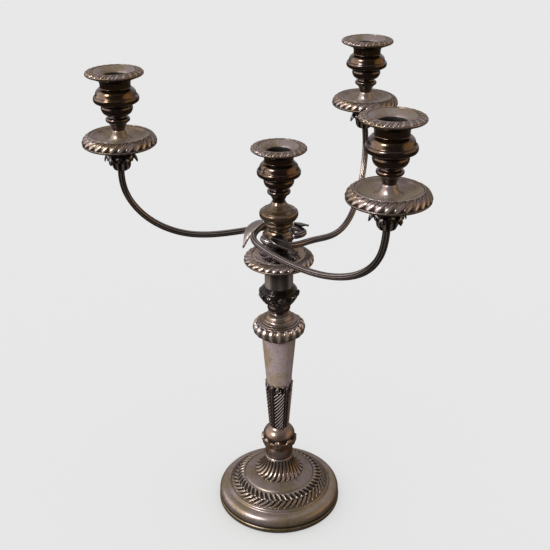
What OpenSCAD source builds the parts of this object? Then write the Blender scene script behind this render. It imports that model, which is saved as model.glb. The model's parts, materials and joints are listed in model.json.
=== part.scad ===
// Three-arm, four-light candelabrum: a loaded baluster candlestick with lift-out branches.
// Origin: centre of the underside. +Z is up, the front is -Y, and the left arm reaches along -X.
// All lengths are in millimetres and all angles in degrees.

/* [Foot] */
// Radius of the foot at its lower rim
foot_r = 67.5; // [66:0.5:70]
// Height of the lower rim band
rim_h = 5.4; // [5:0.1:5.6]
// Thickness of the baize under the foot
baize_t = 0.8; // [0.5:0.1:1]

/* [Stem] */
// Radius of the tapered column at its top
column_top_r = 17.9; // [17:0.1:18]
// Radius of the tapered column at its foot
column_foot_r = 8.6; // [8:0.1:9]
// Radius of the iron rod that ties the stem together
rod_r = 3; // [2.5:0.1:3.2]

/* [Candle holders] */
// Radius of the candle bore in each nozzle
candle_r = 11; // [10.5:0.1:11.2]
// Radius of a nozzle's rim
nozzle_r = 27; // [26:0.5:29]
// Height of the arm nozzles' rims above the table
arm_nozzle_z = 485; // [480:1:490]
// Height of the centre nozzle's rim above the table
centre_nozzle_z = 413; // [413:0.5:416]
// Radius of a drip pan's rim
pan_r = 35; // [34:0.5:36]

/* [Arms] */
// Radius of an arm's round section
arm_r = 3.1; // [2.8:0.1:3.2]
// Reach of the left arm from the stem's axis
left_reach = 150; // [145:0.5:158]
// Reach of the front arm
front_reach = 168.5; // [160:0.5:172]
// Reach of the rear arm
rear_reach = 163; // [156:0.5:170]
// Direction of the left candle about the stem
left_angle = 180; // [176:0.5:184]
// Direction of the front candle
front_angle = 301.4; // [297:0.1:306]
// Direction of the rear candle
rear_angle = 55.4; // [51:0.1:60]
// Rise of the left arm at the bottom of its bow
left_bow = 0; // [-4:0.5:4]
// Rise of the front arm there
front_bow = 11; // [6:0.5:14]
// Rise of the rear arm there
rear_bow = -14; // [-16:0.5:-6]

/* [Hidden] */

silver = [0.58, 0.54, 0.50];
dark_silver = [0.38, 0.35, 0.32];
copper_bleed = [0.48, 0.38, 0.27];
iron = [0.30, 0.29, 0.28];
pitch = [0.14, 0.12, 0.11];
wood = [0.50, 0.37, 0.24];
baize = [0.16, 0.33, 0.22];

round_fn = 96;      // smoothness of turned parts
sweep_sides = 12;   // sides of an arm's section
gap = 0.02;         // clearance between pieces that are soldered or nested
run_gap = 0.05;     // clearance between pieces that slide or turn
sheet = 1.2;        // thickness of stamped sheet

// Heights of the joints between the stem's pieces, from the table up
plate_z = baize_t;
rim_top_z = baize_t + rim_h;
shelf_z = 36.6;
cone_top_z = 56;
collar_top_z = 58.2;
cup_top_z = 71;
knop_top_z = 96;
calyx_top_z = 153.6;
column_top_z = 209;
shoulder_top_z = 226.4;
dome_top_z = 237;
socket_knop_top_z = 247.5;
bowl_top_z = 267.9;
sconce_top_z = 291;

// Heights inside the foot
plate_t = 6;
plate_r = foot_r - 6;
washer_t = 0.8;
nut_h = 2;
nut_room_h = 3.2;
loading_top_z = 31;
rod_bottom_z = plate_z + 0.6;
rod_top_z = 250;

// Candlestick nozzle and the branches that stand in it
stick_edge_z = 297;
stick_well_z = 298;
stick_tube_r = candle_r + 1.25;
stick_tube_bottom_z = 256;
plug_bottom_z = 262;
collar_disc_top_z = 329.5;

// Measures of one candle socket, counted down from its nozzle's rim
socket_top_drop = 5.5;
socket_base_drop = 53.5;
socket_bore_drop = 26;
tube_r = candle_r + 1.25;
tube_drop = 25.5;
bore_floor_drop = 24.5;
bore_top_drop = 4;
stud_r = 2;
stud_depth = 10;

// Measures of one arm's end, counted down from its nozzle's rim
pan_top_drop = socket_base_drop;
pan_edge_drop = 66;
pan_bottom_drop = 75;
arm_end_drop = 83;
calyx_bottom_drop = 93;

arm_reaches = [left_reach, front_reach, rear_reach];
arm_angles = [left_angle, front_angle, rear_angle];
arm_bows = [left_bow, front_bow, rear_bow];

// The bend that the three arms share: along the arm, across it, and up
bend = [
    [-12, 8, 325], [-29, 6, 327], [-18, -23, 322], [6, -29, 321], [39, -27, 316],
    [74, -23, 313], [109, -16, 318], [143, -7, 338], [163, -3, 370],
    [160, 0, arm_nozzle_z - arm_end_drop - gap]
];
bend_reach = bend[len(bend) - 1].x;
bend_rigid_x = 20;   // the hook round the stem, nearer than this, is alike on every arm
bow_at = 5.6;        // where along the bend the bow is deepest
bow_half_width = 3;
hub_turn = 2;        // how far the hub's three seats are turned from the arms' even spacing
sweep_steps = 44;
level_from = 0.93;    // beyond this share of its length an arm's end is straight, so that it stays level

// ---- Curves ----

// A smooth curve from a to c, pulled towards b
function curve(a, b, c, n = 6) =
    [for (i = [0:n]) let (t = i / n) a * (1 - t) ^ 2 + 2 * b * t * (1 - t) + c * t ^ 2];

// A round bead standing out by d on a wall of radius r, from z0 up to z1
function bead(r, z0, z1, d, n = 6) =
    [for (i = [0:n]) let (t = 180 * i / n) [r + d * sin(t), (z0 + z1) / 2 - (z1 - z0) / 2 * cos(t)]];

function reversed(points) = [for (i = [len(points) - 1:-1:0]) points[i]];
function lifted(points, z) = [for (p = points) [p.x, p.y + z]];
function shifted(points, dx, dz) = [for (p = points) [p.x + dx, p.y + dz]];

// A turned piece from its half outline
module turned(outline) {
    rotate_extrude($fn = round_fn) polygon(outline);
}

// A solid turned piece with a bore of radius bore_r
module turned_bored(outline, bore_r) {
    turned(concat([[bore_r, outline[0].y]], outline, [[bore_r, outline[len(outline) - 1].y]]));
}

module tube(r_out, r_in, z0, z1) {
    turned([[r_in, z0], [r_out, z0], [r_out, z1], [r_in, z1]]);
}

// ---- Arms ----

function arm_base(i) = 180 + 120 * i + hub_turn;
function turned_about(p, a) = [p.x * cos(a) - p.y * sin(a), p.x * sin(a) + p.y * cos(a), p.z];
function candle_at(i) = arm_reaches[i] * [cos(arm_angles[i]), sin(arm_angles[i])];
function eased(t) = let (s = min(max(t, 0), 1)) s * s * (3 - 2 * s);

// Weights of a cubic spline's four nearest control points at the fraction t of a span
function spline_weights(t) =
    [(1 - t) ^ 3, 3 * t ^ 3 - 6 * t ^ 2 + 4, -3 * t ^ 3 + 3 * t ^ 2 + 3 * t + 1, t ^ 3] / 6;
function spline(points, u) =
    let (
        last = len(points) - 1,
        span = min(floor(u), last + 1),
        w = spline_weights(u - span),
        p = [for (k = [0:3]) points[min(max(span + k - 2, 0), last)]]
    )
    w[0] * p[0] + w[1] * p[1] + w[2] * p[2] + w[3] * p[3];

function bow(k) = let (t = (k - bow_at) / bow_half_width) abs(t) < 1 ? cos(90 * t) ^ 2 : 0;
function bowed_bend(i) = [for (k = [0:len(bend) - 1]) bend[k] + [0, 0, arm_bows[i] * bow(k)]];

// Point at u on the centreline of arm i, drawn out to its own candle
function arm_point(i, u) =
    let (
        p = spline(bowed_bend(i), u),
        out = eased((p.x - bend_rigid_x) / (bend_reach - bend_rigid_x)),
        even = turned_about([bend_reach, 0, 0], arm_base(i)),
        miss = candle_at(i) - [even.x, even.y]
    )
    turned_about(p, arm_base(i)) + [out * miss.x, out * miss.y, 0];

// Direction that the section's first corner faces: up along the run, inward at the candle
function arm_facing(i, f) =
    let (s = 90 * eased((f - 0.45) / 0.5))
    turned_about([-sin(s), 0, cos(s)], arm_angles[i]);

function arm_ring(i, f) =
    let (
        last = len(bend) + 1,
        step = 0.001,
        u = f * last,
        ahead = arm_point(i, min(u + step, last)) - arm_point(i, max(u - step, 0)),
        t = f == 1 ? [0, 0, 1] : ahead / norm(ahead),
        raw = cross(arm_facing(i, f), t),
        side = raw / norm(raw),
        up = cross(t, side),
        c = arm_point(i, u)
    )
    [for (k = [0:sweep_sides - 1])
        let (a = 360 * k / sweep_sides)
        c + arm_r * (up * cos(a) + side * sin(a))];

module arm(i) {
    n = sweep_sides;
    stations = concat([for (j = [0:sweep_steps - 1]) level_from * j / (sweep_steps - 1)], [1]);
    points = [for (f = stations) each arm_ring(i, f)];
    sides = [for (j = [0:sweep_steps - 1], k = [0:n - 1])
        let (a = j * n + k, b = j * n + (k + 1) % n)
        each [[a, b, b + n], [a, b + n, a + n]]];
    ends = [[for (k = [n - 1:-1:0]) k], [for (k = [0:n - 1]) sweep_steps * n + k]];
    color(dark_silver) polyhedron(points, concat(sides, ends), convexity = 6);
}

// ---- The smooth pointed leaf over each arm's hook ----

leaf_from = -168;      // bearing of the leaf's root and tip from the arm's line
leaf_to = -117;
leaf_half_w = 8.4;
leaf_tip_half_w = 0.4;
leaf_t = 1.2;
leaf_root_r = 26;
leaf_spread = 9.5;     // how far the tip stands out beyond the root
leaf_cup = 0.8;        // how far the edges fold in round the arm
leaf_root_z = 330.5;
leaf_droop = 16;       // how far the tip bends down
leaf_root_tilt = 80;   // how far the leaf leans in over the arm, at its root and tip
leaf_tip_tilt = 50;
leaf_lengths = 10;
leaf_widths = 6;

function leaf_point(i, s, v, lift) =
    let (
        bearing = arm_base(i) + leaf_from + (leaf_to - leaf_from) * s,
        tilt = leaf_root_tilt + (leaf_tip_tilt - leaf_root_tilt) * s,
        half_w = leaf_tip_half_w + leaf_half_w * sin(180 * (0.12 + 0.88 * s)),
        across = half_w * v,
        off = lift - leaf_cup * v ^ 2,
        r = leaf_root_r + leaf_spread * s ^ 3 - across * sin(tilt) + off * cos(tilt),
        z = leaf_root_z - 3.5 * s - leaf_droop * s ^ 4 + across * cos(tilt) + off * sin(tilt)
    )
    [r * cos(bearing), r * sin(bearing), z];

module arm_leaf(i) {
    across = leaf_widths + 1;
    layer = (leaf_lengths + 1) * across;
    points = [for (lift = [0, leaf_t], a = [0:leaf_lengths], b = [0:leaf_widths])
        leaf_point(i, a / leaf_lengths, 2 * b / leaf_widths - 1, lift)];
    // the leaf's rim, once round
    rim = concat(
        [for (b = [0:leaf_widths - 1]) b],
        [for (a = [0:leaf_lengths - 1]) a * across + leaf_widths],
        [for (b = [leaf_widths:-1:1]) leaf_lengths * across + b],
        [for (a = [leaf_lengths:-1:1]) a * across]
    );
    inner = [for (a = [0:leaf_lengths - 1], b = [0:leaf_widths - 1])
        let (k = a * across + b)
        each [[k, k + 1, k + across + 1], [k, k + across + 1, k + across]]];
    outer = [for (f = inner) [f[2] + layer, f[1] + layer, f[0] + layer]];
    edge = [for (j = [0:len(rim) - 1])
        let (a = rim[j], b = rim[(j + 1) % len(rim)])
        each [[a, a + layer, b + layer], [a, b + layer, b]]];
    color(silver) polyhedron(points, concat(inner, outer, edge), convexity = 6);
}

// ---- Foot ----

module baize_pad() {
    color(baize) turned([[0, 0], [foot_r - 1.5, 0], [foot_r - 1.5, baize_t], [0, baize_t]]);
}

module base_plate() {
    nut_room_r = 8;
    top = plate_z + plate_t;
    color(wood) turned([
        [nut_room_r, plate_z], [plate_r, plate_z], [plate_r, top], [rod_r + run_gap, top],
        [rod_r + run_gap, plate_z + nut_room_h], [nut_room_r, plate_z + nut_room_h]
    ]);
}

module foot_rim() {
    color(dark_silver) turned([
        [plate_r + gap, plate_z], [foot_r - 0.7, plate_z], [foot_r, plate_z + 0.8],
        [foot_r, rim_top_z - 1], [foot_r - 0.8, rim_top_z], [plate_r + gap, rim_top_z]
    ]);
}

torus_r = 8;
torus_at = [foot_r - torus_r - 0.5, 11];
function around(c, r, a0, a1, n = 10) =
    [for (i = [0:n]) let (a = a0 + (a1 - a0) * i / n) c + r * [cos(a), sin(a)]];

// The sloping seat of the laurel band
seat_in = [38.4, 32];
seat_out = [54.4, 21.4];
function seat_z(r) = seat_in.y + (r - seat_in.x) * (seat_out.y - seat_in.y) / (seat_out.x - seat_in.x);

shelf_r = 27;
shelf_hole_r = 24;
// The shell above the torus, from its outer groove in to the shelf
function foot_steps() = concat(
    curve([torus_at.x - 0.8, 18.95], [56.6, 18.4], [56.2, 21]),
    [[55.4, 22.1], [54.7, 22], seat_out, seat_in, [38.1, 32.8]],
    curve([37.4, 33.3], [33, 35.4], [shelf_r, shelf_z], 4)
);

module foot_shell() {
    outer = concat([[foot_r - 2.3, rim_top_z]], around(torus_at, torus_r, -28, 94), foot_steps());
    inner = concat(
        [[shelf_hole_r, shelf_z], [shelf_hole_r, shelf_z - sheet]],
        reversed(shifted(foot_steps(), -sheet, -sheet)),
        around(torus_at, torus_r - sheet, 94, -20),
        [[foot_r - 3.7, rim_top_z]]
    );
    color(silver) turned(concat(outer, inner));
}

module loading() {
    bore = rod_r + run_gap;
    bottom = plate_z + plate_t;
    color(pitch) turned([
        [bore, bottom], [plate_r + 0.5, bottom], [torus_at.x + 5.3, 10], [torus_at.x + 4, 14],
        [torus_at.x - 1, 16.6], [seat_out.x, 17], [seat_in.x - 0.4, 29], [33, loading_top_z],
        [bore, loading_top_z]
    ]);
}

module laurel_band() {
    r0 = seat_in.x + 0.5;
    r1 = seat_out.x - 0.5;
    mid = (r0 + r1) / 2;
    edge_t = 0.5;
    crown = 3;
    color(dark_silver) turned(concat(
        [[r0, seat_z(r0) + gap], [r1, seat_z(r1) + gap]],
        curve([r1, seat_z(r1) + edge_t], [mid, seat_z(mid) + crown], [r0, seat_z(r0) + edge_t])
    ));
}

// ---- Stem ----

cone_top_r = 14.6;

module fluted_cone() {
    bore = rod_r + run_gap;
    color(silver) turned(concat(
        curve([shelf_r, shelf_z], [17.5, 40.5], [cone_top_r, cone_top_z], 10),
        [[bore, cone_top_z], [bore, cone_top_z - 1.5], [cone_top_r - 2, cone_top_z - 1.5]],
        curve([cone_top_r - 2, cone_top_z - 2], [16, 39.2], [shelf_r - 1.6, shelf_z], 10)
    ));
}

module cone_collar() {
    color(copper_bleed) turned_bored(bead(14.2, cone_top_z, collar_top_z, 1), rod_r + run_gap);
}

module knop_cup() {
    widest = [15.3, 62];
    color(copper_bleed) turned_bored(concat(
        curve([14.2, collar_top_z], [15.3, 59.4], widest, 4),
        curve(widest, [15.3, 67.6], [13, cup_top_z])
    ), rod_r + run_gap);
}

module leaf_knop() {
    widest = [18.2, 79];
    color(dark_silver) turned_bored(concat(
        curve([12.6, cup_top_z], [widest.x, cup_top_z + 0.4], widest),
        curve(widest, [widest.x, 90], [10.8, 94.6]),
        [[9.8, knop_top_z]]
    ), rod_r + run_gap);
}

column_h = column_top_z - knop_top_z;
column_hollow = 0.225;   // depth of the hollow in the column's side at mid-height
function column_r(z) =
    let (t = (z - knop_top_z) / column_h)
    column_foot_r + (column_top_r - column_foot_r) * t - 4 * column_hollow * t * (1 - t);
function column_side(z0, z1, grow, n = 8) =
    [for (i = [0:n]) let (z = z0 + (z1 - z0) * i / n) [column_r(z) + grow, z]];

module stem_column() {
    color(silver) turned(concat(
        column_side(knop_top_z, column_top_z, 0, 12),
        reversed(column_side(knop_top_z, column_top_z, -sheet, 12))
    ));
}

module stem_calyx() {
    color(dark_silver) turned(concat(
        column_side(knop_top_z, calyx_top_z, sheet, 8),
        reversed(column_side(knop_top_z, calyx_top_z, gap, 8))
    ));
}

module shoulder() {
    widest = [26.9, 219.8];
    color(silver) turned_bored(concat(
        [[17.6, column_top_z], [18.4, column_top_z + 0.6], [18.4, column_top_z + 1.8], [17.8, 211.6]],
        curve([18.6, 212.4], [widest.x, 213.4], widest),
        curve(widest, [widest.x, 225], [21.6, shoulder_top_z])
    ), rod_r + run_gap);
}

module shoulder_dome() {
    color(silver) turned_bored(concat(
        bead(20.6, shoulder_top_z, 228, 0.8, 4),
        bead(18.4, 228, 229.4, 0.7, 4),
        curve([17.8, 229.4], [15.4, 229.8], [15.2, 231.4]),
        bead(14.8, 231.4, 232.6, 0.5, 4),
        curve([14.2, 232.6], [13.6, 235.8], [9.2, 236.4]),
        [[9.2, dome_top_z]]
    ), rod_r + run_gap);
}

module socket_knop() {
    color(dark_silver) turned_bored(concat(
        [[9.2, dome_top_z], [8.4, 238], [8.4, 239.4]],
        curve([8.4, 239.4], [11.9, 239.6], [11.9, 243.6]),
        [[11.5, 245.6], [10.6, socket_knop_top_z]]
    ), rod_r + run_gap);
}

sconce_r = 14.5;
liner_r = 13.6;
sconce_floor_z = 252;

module leaf_bowl() {
    widest = [20.3, 260];
    color(dark_silver) turned(concat(
        [[rod_r + run_gap, socket_knop_top_z]],
        curve([11.5, socket_knop_top_z], [16.6, 251], widest),
        curve(widest, [widest.x, 263.5], [17.6, 264.6]),
        [[17.6, 265.4], [16.4, 265.7], [16.4, 266.7], [15.4, 267], [15.4, bowl_top_z]],
        [[liner_r + gap, bowl_top_z], [liner_r + gap, sconce_floor_z - gap]],
        [[rod_r + run_gap, sconce_floor_z - gap]]
    ));
}

module stick_socket() {
    bore = stick_tube_r + run_gap;
    color(silver) turned([
        [0, sconce_floor_z], [liner_r, sconce_floor_z], [liner_r, bowl_top_z], [sconce_r, bowl_top_z],
        [sconce_r, sconce_top_z], [bore, sconce_top_z], [bore, sconce_floor_z + sheet],
        [0, sconce_floor_z + sheet]
    ]);
}

module tie_rod() {
    color(iron) turned([[0, rod_bottom_z], [rod_r, rod_bottom_z], [rod_r, rod_top_z], [0, rod_top_z]]);
}

nut_top_z = plate_z + nut_room_h - washer_t;

module rod_nut() {
    color(iron) difference() {
        translate([0, 0, nut_top_z - nut_h]) cylinder(r = 5.5, h = nut_h, $fn = 6);
        translate([0, 0, nut_top_z - nut_h - 1])
            cylinder(r = rod_r + gap, h = nut_h + 2, $fn = round_fn);
    }
}

module rod_washer() {
    color(iron) tube(7, rod_r + run_gap, nut_top_z, nut_top_z + washer_t - gap);
}

// ---- Rims and borders of pans and nozzles ----

// Section of the sheet under a border, from its rim's underside up to its inner edge
function margin(r_in, r_edge, h) =
    [[r_edge - 3, -2.4], [r_edge - 2.2, -1.6], [r_in + 0.3, h - 0.6], [r_in - 0.4, h], [r_in - 1.2, h - 0.4]];

// Section of the cast border that is soldered on that margin
function border(r_in, r_edge, h) = concat(
    [[r_edge - 2.2, gap - 1.6], [r_edge - 1.2, -1.9], [r_edge - 0.1, -1]],
    curve([r_edge, 0], [r_edge - 0.4, h * 0.8], [r_in + 0.5, h + 0.2]),
    [[r_in + 0.3, h + gap - 0.6]]
);

stick_pan_in = 26.3;
stick_pan_h = 6.1;
pan_in = 28;
pan_h = 8.3;
nozzle_in = nozzle_r - 7.5;
nozzle_h = 2.6;

module stick_nozzle() {
    flange_r = 17;
    well = curve([stick_pan_in - 1.4, stick_edge_z + 5.5], [20, stick_well_z + 0.4], [16, stick_well_z]);
    color(silver) turned(concat(
        [[0, stick_tube_bottom_z], [stick_tube_r, stick_tube_bottom_z], [stick_tube_r, sconce_top_z]],
        [[flange_r, sconce_top_z]],
        lifted(margin(stick_pan_in, pan_r, stick_pan_h), stick_edge_z),
        well,
        [[candle_r, stick_well_z], [candle_r, stick_tube_bottom_z + sheet], [0, stick_tube_bottom_z + sheet]]
    ));
}

module stick_nozzle_border() {
    color(silver) turned(lifted(border(stick_pan_in, pan_r, stick_pan_h), stick_edge_z));
}

// ---- Hub of the branches ----

plug_r = candle_r - run_gap;
hub_rod_bottom_z = 270;
centre_base_z = centre_nozzle_z - socket_base_drop;

module branch_plug() {
    bore = rod_r + run_gap;
    color(dark_silver) turned([
        [0, plug_bottom_z], [plug_r - 0.8, plug_bottom_z], [plug_r, plug_bottom_z + 1.5],
        [plug_r, stick_well_z], [bore, stick_well_z], [bore, hub_rod_bottom_z - gap],
        [0, hub_rod_bottom_z - gap]
    ]);
}

hub_foot_r = 11.2;
hub_foot_z = stick_well_z + 1.4;
hub_waist_r = 9.2;
hub_core_top_z = 319.5;

module hub_core() {
    color(dark_silver) turned_bored(concat(
        [[hub_foot_r, stick_well_z], [hub_foot_r, hub_foot_z], [hub_waist_r, hub_foot_z]],
        curve([hub_waist_r, 306.4], [hub_waist_r, 311.4], [13, 313.4]),
        bead(12.6, 313.6, 318, 0.9),
        [[11.4, hub_core_top_z]]
    ), rod_r + gap);
}

module hub_calyx() {
    inner = hub_waist_r + gap;
    color(dark_silver) turned(concat(
        [[inner, hub_foot_z], [hub_foot_r, hub_foot_z]],
        curve([hub_foot_r, hub_foot_z], [16, 299.8], [19.6, 301.6]),
        [[20, 302.2], [19.4, 303]],
        curve([19.4, 303], [13, 302.4], [inner, 306])
    ));
}

module hub_collar() {
    color(copper_bleed) turned_bored([
        [11.4, hub_core_top_z], [15.2, 320.4], [16.2, 322.2], [16.2, 325], [15, 325.8],
        [14.6, 327], [12.6, 328], [11.8, collar_disc_top_z]
    ], rod_r + gap);
}

module hub_rod() {
    color(iron) turned([
        [0, hub_rod_bottom_z], [rod_r, hub_rod_bottom_z], [rod_r, centre_base_z],
        [stud_r, centre_base_z], [stud_r, centre_base_z + stud_depth - gap],
        [0, centre_base_z + stud_depth - gap]
    ]);
}

module centre_vase() {
    color(copper_bleed) turned_bored(concat(
        [[8.6, collar_disc_top_z], [7.9, 330.4], [7.9, 332.4]],
        curve([7.9, 332.4], [13.6, 332.8], [14.1, 336]),
        [[13.6, 338], [12.8, 338.6]],
        curve([12.8, 338.6], [16, 339.6], [18.4, 343.4]),
        bead(18.2, 343.6, 349.4, 1),
        curve([17.4, 350.4], [13, 352], [8, 356.8]),
        [[7.4, 357.6], [7.4, 358.4], [6.6, centre_base_z]]
    ), rod_r + gap);
}

// ---- Candle sockets and nozzles; z = 0 is the nozzle's rim ----

module socket_at_rim() {
    bore = tube_r + run_gap;
    base = -socket_base_drop;
    top = -socket_top_drop;
    stud_hole = stud_r + run_gap;
    color(copper_bleed) turned(concat(
        [[stud_hole, base], [5.8, base]],
        curve([5.8, base], [6.6, -49], [9.4, -46]),
        bead(9.8, -45.6, -41.4, 1.6),
        [[8.4, -41]],
        curve([8, -39.5], [14.6, -38.4], [14.9, -32]),
        curve([14.2, -30.4], [15.6, -28.8], [19.4, -27]),
        bead(20.2, -26.4, -21, 1.1),
        [[19.6, -20.6], [19.4, -19.8]],
        curve([19, -19.4], [18.6, -15.4], [14.8, -13.6]),
        [[14.2, -13], [14.2, -10]],
        curve([14.2, -10], [14.4, -7], [16, top], 4),
        [[bore, top], [bore, -socket_bore_drop], [0, -socket_bore_drop]],
        [[0, base + stud_depth], [stud_hole, base + stud_depth]]
    ));
}

module nozzle_at_rim() {
    flange_r = 16;
    top = -socket_top_drop;
    color(silver) turned(concat(
        [[0, -tube_drop], [tube_r, -tube_drop], [tube_r, top], [flange_r, top]],
        margin(nozzle_in, nozzle_r, nozzle_h),
        curve([nozzle_in - 1.4, 1.9], [12.4, -0.6], [candle_r, -bore_top_drop]),
        [[candle_r, -bore_floor_drop], [0, -bore_floor_drop]]
    ));
}

module nozzle_border_at_rim() {
    color(silver) turned(border(nozzle_in, nozzle_r, nozzle_h));
}

module pan_at_rim() {
    bottom = -pan_bottom_drop;
    stud_hole = stud_r + run_gap;
    floor_drop = 63.4;
    boss_r = 6.5;
    color(silver) turned(concat(
        [[stud_hole, bottom], [9, bottom], [9, -67.4], [14, -65.4], [20, -65.2], [26, -66.6]],
        lifted(margin(pan_in, pan_r, pan_h), -pan_edge_drop),
        curve([pan_in - 1.6, -58.4], [22, -floor_drop], [14, -floor_drop]),
        curve([13, -floor_drop], [7.4, -61], [boss_r, -pan_top_drop - 1.4]),
        [[boss_r - 0.6, -pan_top_drop], [stud_hole, -pan_top_drop]]
    ));
}

module pan_border_at_rim() {
    color(silver) turned(lifted(border(pan_in, pan_r, pan_h), -pan_edge_drop));
}

module calyx_at_rim() {
    arm_hole = arm_r + 1.5;
    bottom = -calyx_bottom_drop;
    seat = -arm_end_drop;
    stud_hole = stud_r + run_gap;
    color(dark_silver) turned(concat(
        [[arm_hole, bottom], [5.6, bottom]],
        curve([5.6, bottom], [8.8, -91], [8.8, -86]),
        [[13.2, -84.6], [13.7, -83.6], [13.2, -82.6]],
        curve([13.2, -82.6], [9.6, -81.6], [9, -77.6]),
        [[9, -pan_bottom_drop], [stud_hole, -pan_bottom_drop], [stud_hole, seat], [arm_hole, seat]]
    ));
}

// Stands a piece at arm i's candle, or at the centre with i = -1
module at_candle(i) {
    spot = i < 0 ? [0, 0, centre_nozzle_z] : [each candle_at(i), arm_nozzle_z];
    translate(spot) children();
}

module arm_studs() {
    length = arm_end_drop - pan_top_drop + stud_depth - gap;
    for (i = [0:2]) {
        at_candle(i) translate([0, 0, -arm_end_drop]) color(iron)
            cylinder(r = stud_r, h = length, $fn = round_fn);
    }
}

baize_pad();
base_plate();
loading();
foot_rim();
foot_shell();
laurel_band();
fluted_cone();
cone_collar();
knop_cup();
leaf_knop();
stem_calyx();
stem_column();
shoulder();
shoulder_dome();
socket_knop();
leaf_bowl();
stick_socket();
tie_rod();
rod_nut();
rod_washer();
stick_nozzle();
stick_nozzle_border();
branch_plug();
hub_calyx();
hub_core();
hub_collar();
hub_rod();
centre_vase();
at_candle(-1) socket_at_rim();  // centre_socket
arm(0);  // left_arm
arm(1);  // front_arm
arm(2);  // rear_arm
arm_leaf(0);  // left_arm_leaf
arm_leaf(1);  // front_arm_leaf
arm_leaf(2);  // rear_arm_leaf
at_candle(0) calyx_at_rim();  // left_calyx
at_candle(1) calyx_at_rim();  // front_calyx
at_candle(2) calyx_at_rim();  // rear_calyx
at_candle(0) pan_at_rim();  // left_pan
at_candle(1) pan_at_rim();  // front_pan
at_candle(2) pan_at_rim();  // rear_pan
at_candle(0) pan_border_at_rim();  // left_pan_border
at_candle(1) pan_border_at_rim();  // front_pan_border
at_candle(2) pan_border_at_rim();  // rear_pan_border
at_candle(0) socket_at_rim();  // left_socket
at_candle(1) socket_at_rim();  // front_socket
at_candle(2) socket_at_rim();  // rear_socket
arm_studs();
at_candle(0) nozzle_at_rim();  // left_nozzle
at_candle(1) nozzle_at_rim();  // front_nozzle
at_candle(2) nozzle_at_rim();  // rear_nozzle
at_candle(-1) nozzle_at_rim();  // centre_nozzle
at_candle(0) nozzle_border_at_rim();  // left_nozzle_border
at_candle(1) nozzle_border_at_rim();  // front_nozzle_border
at_candle(2) nozzle_border_at_rim();  // rear_nozzle_border
at_candle(-1) nozzle_border_at_rim();  // centre_nozzle_border
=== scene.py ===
"""Looks of the candelabrum: turned, cast and chased silver-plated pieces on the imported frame."""

import json
import math

import bpy
import numpy as np
from mathutils import Matrix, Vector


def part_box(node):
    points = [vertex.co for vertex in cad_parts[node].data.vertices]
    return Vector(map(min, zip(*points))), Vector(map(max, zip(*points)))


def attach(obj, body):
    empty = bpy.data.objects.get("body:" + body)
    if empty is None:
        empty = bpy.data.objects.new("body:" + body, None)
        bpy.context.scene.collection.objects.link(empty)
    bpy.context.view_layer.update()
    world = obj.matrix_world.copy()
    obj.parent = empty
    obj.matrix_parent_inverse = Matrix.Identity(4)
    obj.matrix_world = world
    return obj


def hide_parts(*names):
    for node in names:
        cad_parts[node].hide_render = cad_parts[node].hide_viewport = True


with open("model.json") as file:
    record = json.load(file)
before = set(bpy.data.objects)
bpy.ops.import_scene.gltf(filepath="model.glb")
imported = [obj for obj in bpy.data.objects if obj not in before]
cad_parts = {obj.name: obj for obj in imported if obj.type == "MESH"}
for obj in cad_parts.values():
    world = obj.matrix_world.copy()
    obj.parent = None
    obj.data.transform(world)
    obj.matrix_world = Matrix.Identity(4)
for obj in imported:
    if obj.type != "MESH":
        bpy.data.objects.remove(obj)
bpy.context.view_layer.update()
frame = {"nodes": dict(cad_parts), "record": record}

MM = 0.001
TAU = 2 * math.pi
record = frame["record"]
body_of = {node: body for body, nodes in record["behaviour"]["bodies"].items() for node in nodes}
bore_of = {mount["name"]: mount["pos_m"] for mount in record["mounts"]}
LIGHTS = ("left", "front", "rear", "centre")
ARMS = LIGHTS[:3]
STEM = (0.0, 0.0)


def candle_axis(light):
    """Plan position of a light's axis, in millimetres."""
    x, y, _ = bore_of[f"{light}_candle_bore"]
    return x / MM, y / MM


def box_mm(node):
    """Lowest and highest corner of a CAD node, in millimetres."""
    low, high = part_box(node)
    return np.array(low) / MM, np.array(high) / MM


def heights(node):
    """Heights of a CAD node's foot and top, in millimetres."""
    low, high = box_mm(node)
    return low[2], high[2]


CONE_LOW, CONE_TOP = heights("fluted_cone")
KNOP_LOW, KNOP_TOP = heights("leaf_knop")
SHOULDER_LOW, SHOULDER_TOP = heights("shoulder")
BOWL_LOW, BOWL_TOP = heights("leaf_bowl")
VASE_LOW, VASE_TOP = heights("centre_vase")


# ---------------------------------------------------------------- small maths

def smoothstep(x, lo, hi):
    t = np.clip((x - lo) / (hi - lo), 0, 1)
    return t * t * (3 - 2 * t)


def from_nearest(phase):
    """Signed distance from the nearest whole number."""
    return phase - np.round(phase)


def crest(x, half_width):
    """Rounded ridge: 1 on the line x = 0, falling to 0 at half_width."""
    q = np.clip(np.abs(x) / np.maximum(half_width, 1e-4), 0, 1)
    return np.sqrt(1 - q * q)


def ridge(x, half_width, full_width):
    """Rounded ridge that also sinks where it is narrower than full_width."""
    return crest(x, half_width) * np.minimum(1, half_width / full_width)


def bell(x, half_width):
    """Soft line: 1 on x = 0, fading to nothing past half_width."""
    return np.exp(-(x / half_width) ** 2)


def band(x, rise_from, rise_to, fall_from, fall_to):
    """1 between two eased edges, 0 outside them."""
    return smoothstep(x, rise_from, rise_to) * smoothstep(x, fall_to, fall_from)


def unit(vectors):
    """Vectors along the last axis, brought to length 1."""
    return vectors / np.maximum(np.linalg.norm(vectors, axis=-1, keepdims=True), 1e-9)


def arc_length(points):
    """Distance along a run of points, from its first one."""
    return np.concatenate([[0], np.cumsum(np.linalg.norm(np.diff(points, axis=0), axis=1))])


def points_at(points, arc, at):
    """The places on a run of points at given distances along it."""
    return np.stack([np.interp(at, arc, column) for column in points.T], -1)


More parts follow.
